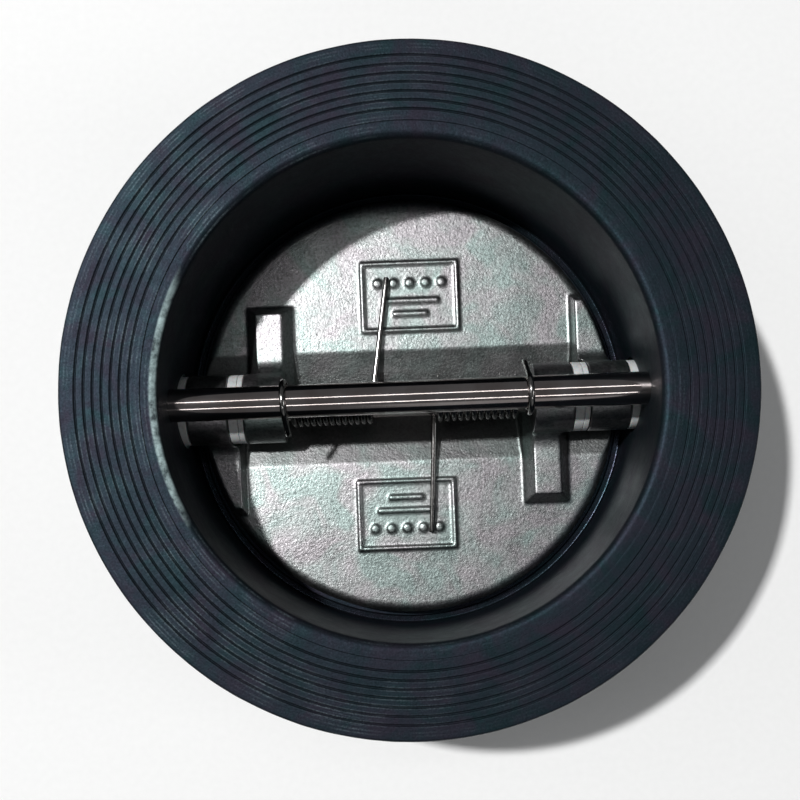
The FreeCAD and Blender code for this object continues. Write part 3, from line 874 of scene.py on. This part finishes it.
def make_plate(highlight_side, seed):
    """The plate's own shape with softened cast edges and a blasted skin."""
    node = "plate_" + highlight_side
    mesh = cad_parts[node].data.copy()
    obj = bpy.data.objects.new(node + "_cast", mesh)
    bpy.context.scene.collection.objects.link(obj)
    weld = obj.modifiers.new("weld", "WELD")
    weld.merge_threshold = WELD_DISTANCE * MM
    remesh = obj.modifiers.new("skin", "REMESH")
    remesh.mode = "VOXEL"
    remesh.voxel_size = PLATE_VOXEL * MM
    smooth = obj.modifiers.new("soften", "SMOOTH")
    smooth.factor = 0.5
    smooth.iterations = 3
    settle(obj)
    roughen(obj, [(0.05, 8.0, seed), (0.014, 1.5, seed + 9.0)], -0.06)
    obj.data.polygons.foreach_set("use_smooth", [True] * len(obj.data.polygons))
    return join_frame(obj, "flap_" + highlight_side, [node], CAST)


# --- Pins, washers, plugs and gaskets -------------------------------------------------
def make_pin(node, radius, z):
    corners = [(0, -PIN_END, 0), (radius, -PIN_END, 0.5), (radius, PIN_END, 0.5), (0, PIN_END, 0)]
    points = divided(rounded(corners, 5, closed=False), 2.0, closed=False)
    obj = lathe(node + "_ground", points, 72, on_x(z))
    shade(obj)
    return join_frame(obj, "valve_body", [node], PIN)


def make_ring(node, bore, edge, material, name):
    """Washer or gasket with slightly rounded edges, in the place of its CAD node."""
    low, high = span(node)
    outer = (high.z - low.z) / 2
    z = (high.z + low.z) / 2
    corners = [(bore, low.x, edge), (outer, low.x, edge), (outer, high.x, edge), (bore, high.x, edge)]
    obj = lathe(name, divided(rounded(corners, 3), 1.2), 96, on_x(z))
    roughen(obj, [(0.03, 2.0, low.x)])
    shade(obj, 50)
    return join_frame(obj, "valve_body", [node], material)


def make_plug(node, z):
    """Socket plug: threaded shank, chamfered head and hexagon socket with a drilled bottom."""
    low, high = span(node)
    sign = 1 if high.x > 0 else -1
    start, end = (low.x, high.x) if sign > 0 else (high.x, low.x)
    seat = end - sign * PLUG_HEAD
    shank = THREAD_R - THREAD_GAP
    root = shank - THREAD_DEPTH
    corners = [(0, start, 0), (root, start, 0.1)]
    for k in range(int(abs(seat - start) / THREAD_PITCH) - 1):
        x = start + sign * (0.5 + k) * THREAD_PITCH
        corners.append((shank, x, 0.08))
        corners.append((root, x + sign * THREAD_PITCH / 2, 0.08))
    corners += [(root, seat, 0.1), (PLUG_R, seat, 0.25), (PLUG_R, end - sign * 0.45, 0.15)]
    corners += [(PLUG_R - 0.5, end, 0.2), (0, end, 0)]
    obj = lathe(node + "_turned", rounded(corners, 3, closed=False), 72, on_x(z))
    corner_r = SOCKET_FLATS / math.sqrt(3)
    inside, outside = [], []
    for k in range(6):
        angle = math.radians(60 * k)
        y, height = corner_r * math.cos(angle), z + corner_r * math.sin(angle)
        inside.append((end - sign * SOCKET_DEPTH, y, height))
        outside.append((end + sign, y, height))
    combine(obj, prism("socket", inside, outside), "DIFFERENCE")
    mouth = end + sign * COUNTERSINK_RISE
    cone = [Vector((0, end - sign * DRILL_DEPTH)), Vector((COUNTERSINK_R, mouth)), Vector((0, mouth))]
    combine(obj, lathe("countersink", cone, 72, on_x(z)), "DIFFERENCE")
    shade(obj, 30)
    return join_frame(obj, "valve_body", [node], PLUG)


# --- Springs --------------------------------------------------------------------------
def straight(start, end, steps):
    return [start.lerp(end, k / steps) for k in range(steps + 1)]


def on_coil(data, turn):
    """Point of the coil's helix. It starts on the inlet side of where the hook's arm meets it."""
    angle = math.radians(180.0 - HOOK_TILT_DEGREES + 360.0 * turn)
    x = data["coil_x"] + data["pitch"] * turn
    return Vector((x, COIL_R * math.cos(angle), HINGE_Z + COIL_R * math.sin(angle)))


def coil_path(data):
    """Hook's tail, hook over the stop pin, arm down to the coil, and the coil."""
    tilt = math.radians(HOOK_TILT_DEGREES)
    across = Vector((0, math.cos(tilt), -math.sin(tilt)))
    slope = data["pitch"] / (math.tau * COIL_R)
    down = Vector((slope, -math.sin(tilt), -math.cos(tilt))).normalized()
    coil_start = Vector((data["coil_x"], 0, HINGE_Z)) - across * COIL_R
    run = (STOP_Z - HINGE_Z) * math.cos(tilt) / math.hypot(down.y, down.z)
    hook_end = coil_start - down * run
    centre = hook_end - across * HOOK_R

    def on_hook(degrees):
        angle = math.radians(degrees)
        return centre + (across * math.cos(angle) - down * math.sin(angle)) * HOOK_R

    wrap = math.radians(HOOK_WRAP)
    tip = on_hook(HOOK_WRAP)
    outwards = (down * -math.cos(wrap) - across * math.sin(wrap)).normalized()
    path = straight(tip + outwards * HOOK_TAIL, tip, 5)
    path += [on_hook(HOOK_WRAP * (1 - k / 24)) for k in range(1, 25)]
    path += straight(hook_end, coil_start, 8)[1:]
    steps = int(COIL_TURNS * 36)
    return path + [on_coil(data, COIL_TURNS * k / steps) for k in range(1, steps + 1)]


def leg_path(data):
    """Thin arc hidden in the coil's last turn, then the leg to the plate, with its radii."""
    share = LEG_ROOT_DEGREES / 360.0
    root = [on_coil(data, COIL_TURNS - share * (1 - k / 12)) for k in range(13)]
    slope = data["pitch"] / (math.tau * COIL_R)
    corner = root[-1] + Vector((slope, 1, 0)) * LEG_STUB
    tip = Vector((data["tip_x"], LEG_TIP_Y, LEG_TIP_Z))
    bend = corner_arc(root[-1], corner, tip, LEG_BEND_R, 8)
    rest = bend + straight(bend[-1], tip, 10)[1:]
    return root + rest, [LEG_ROOT_R] * 12 + [WIRE_R] * (1 + len(rest))


def make_spring(highlight_side):
    """Coil with its hook on the body, and the long leg on its plate."""
    data = SPRINGS[highlight_side]
    coil = coil_path(data)
    leg, radii = leg_path(data)
    if data["turned"]:
        coil = [Vector((-p.x, -p.y, p.z)) for p in coil]
        leg = [Vector((-p.x, -p.y, p.z)) for p in leg]
    node = "spring_" + highlight_side
    wound = tube(node + "_coil", coil, [WIRE_R] * len(coil))
    arm = tube(node + "_leg", leg, radii)
    for obj, body in ((wound, "valve_body"), (arm, data["flap"])):
        shade(obj, 50)
        join_frame(obj, body, [node], WIRE)


# --- Build every piece ----------------------------------------------------------------
make_lining()
make_casting()
make_plate("upper", 2.0)
make_plate("lower", 31.0)
make_pin("hinge_pin", HINGE_R, HINGE_Z)
make_pin("stop_pin", STOP_R, STOP_Z)
for highlight_side in ("left", "right"):
    make_spring(highlight_side)
    for kind in ("thrust_washer_{}", "hub_washer_{}_inner", "hub_washer_{}_outer"):
        washer = kind.format(highlight_side)
        make_ring(washer, WASHER_BORE, 0.2, PTFE, washer + "_turned")
    for which, z in (("hinge", HINGE_Z), ("stop", STOP_Z)):
        make_plug(which + "_pin_plug_" + highlight_side, z)
        gasket = which + "_plug_gasket_" + highlight_side
        make_ring(gasket, GASKET_BORE, 0.12, FIBRE, gasket + "_cut")


# --- Floor, lights and camera ---------------------------------------------------------
FLOOR_HALF = 3000.0
FLOOR_GAP = 0.05
LIGHT_TARGET = (0, 0, 0.03)


def make_floor():
    low = cad_box[0].z / MM - FLOOR_GAP
    steps = 24
    vertices, faces = [], []
    for i in range(steps + 1):
        for k in range(steps + 1):
            x = FLOOR_HALF * (2 * i / steps - 1)
            y = FLOOR_HALF * (2 * k / steps - 1)
            vertices.append((x, y, low))
    for i in range(steps):
        for k in range(steps):
            a = i * (steps + 1) + k
            faces.append((a, a + steps + 1, a + steps + 2, a + 1))
    obj = add_object("floor", vertices, faces)
    obj.data.materials.append(floor_finish())


def place_light(name, size, azimuth, elevation, distance, power):
    """Softbox aimed at the valve. Azimuth goes from +X towards +Y, in degrees; sizes in metres."""
    light = bpy.data.lights.new(name, "AREA")
    light.shape = "RECTANGLE"
    light.size, light.size_y = size
    light.energy = power
    obj = bpy.data.objects.new(name, light)
    a, e = math.radians(azimuth), math.radians(elevation)
    way = Vector((math.cos(a) * math.cos(e), math.sin(a) * math.cos(e), math.sin(e)))
    obj.location = Vector(LIGHT_TARGET) + way * distance
    obj.rotation_mode = "QUATERNION"
    obj.rotation_quaternion = way.to_track_quat("Z", "Y")
    bpy.context.scene.collection.objects.link(obj)


def make_lights():
    place_light("key", (0.10, 0.10), 150.0, 64.5, 2.5, 58.0)
    place_light("left_box", (0.8, 0.8), 168.0, 38.0, 1.4, 1.6)
    place_light("right_box", (0.35, 0.35), -8.0, 34.0, 1.3, 1.3)
    place_light("front_box", (0.8, 0.8), -75.0, 24.0, 1.6, 0.35)
    place_light("strip_back", (0.7, 0.06), 90.0, 76.0, 1.2, 0.6)
    place_light("strip_front", (0.7, 0.06), -90.0, 57.0, 1.2, 0.6)
    world = bpy.data.worlds.new("studio")
    world.use_nodes = True
    background = world.node_tree.nodes["Background"]
    background.inputs["Color"].default_value = (0.93, 0.97, 1.0, 1.0)
    background.inputs["Strength"].default_value = 0.09
    bpy.context.scene.world = world


CAMERA_PLACE = (-3.2, -26.0, 314.0)
CAMERA_ROLL = 2.2
FOCAL_PIXELS = 1096.0
IMAGE_SIDE = 800.0
SENSOR = 36.0
CAMERA_SHIFT_Y = 0.1306


def make_camera():
    camera = bpy.data.cameras.new("camera")
    camera.sensor_width = SENSOR
    camera.lens = FOCAL_PIXELS * SENSOR / IMAGE_SIDE
    camera.shift_y = CAMERA_SHIFT_Y
    camera.clip_start = 0.01
    obj = bpy.data.objects.new("camera", camera)
    obj.location = Vector(CAMERA_PLACE) * MM
    obj.rotation_euler = (0, 0, -math.radians(CAMERA_ROLL))
    bpy.context.scene.collection.objects.link(obj)
    bpy.context.scene.camera = obj


make_floor()
make_lights()
make_camera()
bpy.context.scene.view_settings.view_transform = "Standard"
